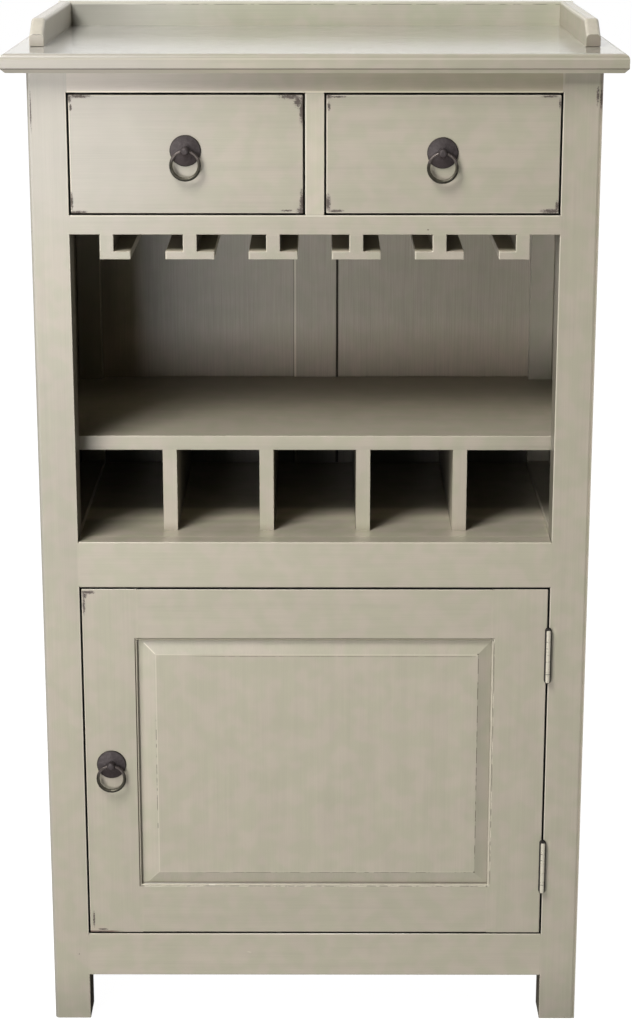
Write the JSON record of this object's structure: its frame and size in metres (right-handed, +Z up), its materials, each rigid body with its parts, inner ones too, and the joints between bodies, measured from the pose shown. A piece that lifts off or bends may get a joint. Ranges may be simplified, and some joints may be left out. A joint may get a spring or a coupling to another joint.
{
  "type": "bar cabinet",
  "caption": "Painted wood bar cabinet: drawers under a galleried top, an open bay with glass hangers and a bottle rack, and a cupboard with a framed door.",
  "frame": {"origin": "on the floor, under the middle of the box round the cabinet", "axes": "+Z up, -Y the front with the drawers and the door, +X the viewer's right"},
  "size_m": [0.65, 0.402, 1.135],
  "materials": {
    "painted_wood": "brushed satin paint",
    "bare_wood": "bare planed",
    "painted_steel": "brushed satin paint",
    "aged_iron": "aged, dull"
  },
  "bodies": {
    "carcass": {"back_panel_left": "painted_wood", "back_panel_right": "painted_wood", "bottle_deck": "painted_wood", "bottle_divider_1": "painted_wood", "bottle_divider_2": "painted_wood", "bottle_divider_3": "painted_wood", "bottle_divider_4": "painted_wood", "bottle_shelf": "painted_wood", "cupboard_floor": "painted_wood", "deck_batten_left": "painted_wood", "deck_batten_right": "painted_wood", "door_stop": "painted_wood", "drawer_guide_left": "bare_wood", "drawer_guide_middle": "bare_wood", "drawer_guide_right": "bare_wood", "dust_board": "painted_wood", "gallery_back": "painted_wood", "gallery_left": "painted_wood", "gallery_right": "painted_wood", "glass_hanger_1": "painted_wood", "glass_hanger_2": "painted_wood", "glass_hanger_3": "painted_wood", "glass_hanger_4": "painted_wood", "glass_hanger_5": "painted_wood", "glass_hanger_6": "painted_wood", "hinge_lower_post_leaf": "painted_steel", "hinge_upper_post_leaf": "painted_steel", "post_front_left": "painted_wood", "post_front_right": "painted_wood", "post_rear_left": "painted_wood", "post_rear_right": "painted_wood", "rail_bottom": "painted_wood", "rail_frieze": "painted_wood", "rail_middle": "painted_wood", "rail_under_drawers": "painted_wood", "rear_muntin": "painted_wood", "rear_rail_bottom": "painted_wood", "rear_rail_top": "painted_wood", "side_panel_left": "painted_wood", "side_panel_right": "painted_wood", "stile_between_drawers": "painted_wood", "top_slab": "painted_wood"},
    "drawer_left": {"drawer_left_front": "painted_wood", "drawer_left_tray": "bare_wood", "rosette_drawer_left": "aged_iron"},
    "drawer_right": {"drawer_right_front": "painted_wood", "drawer_right_tray": "bare_wood", "rosette_drawer_right": "aged_iron"},
    "door": {"door_panel": "painted_wood", "door_rail_bottom": "painted_wood", "door_rail_top": "painted_wood", "door_stile_left": "painted_wood", "door_stile_right": "painted_wood", "hinge_lower_door_leaf": "painted_steel", "hinge_upper_door_leaf": "painted_steel", "rosette_door": "aged_iron"},
    "pull_ring_drawer_left": {"ring_drawer_left": "aged_iron"},
    "pull_ring_drawer_right": {"ring_drawer_right": "aged_iron"},
    "pull_ring_door": {"ring_door": "aged_iron"}
  },
  "joints": [
    {"name": "door_hinge", "type": "hinge", "parent": "carcass", "child": "door", "pos_m": [0.259, -0.1808, 0.3155], "axis": [0, 0, 1], "range_deg": [0, 170]},
    {"name": "drawer_left_slide", "type": "slide", "parent": "carcass", "child": "drawer_left", "axis": [0, -1, 0], "range_m": [0, 0.25]},
    {"name": "drawer_right_slide", "type": "slide", "parent": "carcass", "child": "drawer_right", "axis": [0, -1, 0], "range_m": [0, 0.25]},
    {"name": "ring_door_swing", "type": "hinge", "parent": "door", "child": "pull_ring_door", "pos_m": [-0.229, -0.184, 0.3155], "axis": [-1, 0, 0], "range_deg": [-8, 188]},
    {"name": "ring_drawer_left_swing", "type": "hinge", "parent": "drawer_left", "child": "pull_ring_drawer_left", "pos_m": [-0.136, -0.184, 1.00475], "axis": [-1, 0, 0], "range_deg": [-8, 188]},
    {"name": "ring_drawer_right_swing", "type": "hinge", "parent": "drawer_right", "child": "pull_ring_drawer_right", "pos_m": [0.1345, -0.184, 1.00245], "axis": [-1, 0, 0], "range_deg": [-8, 188]}
  ]
}
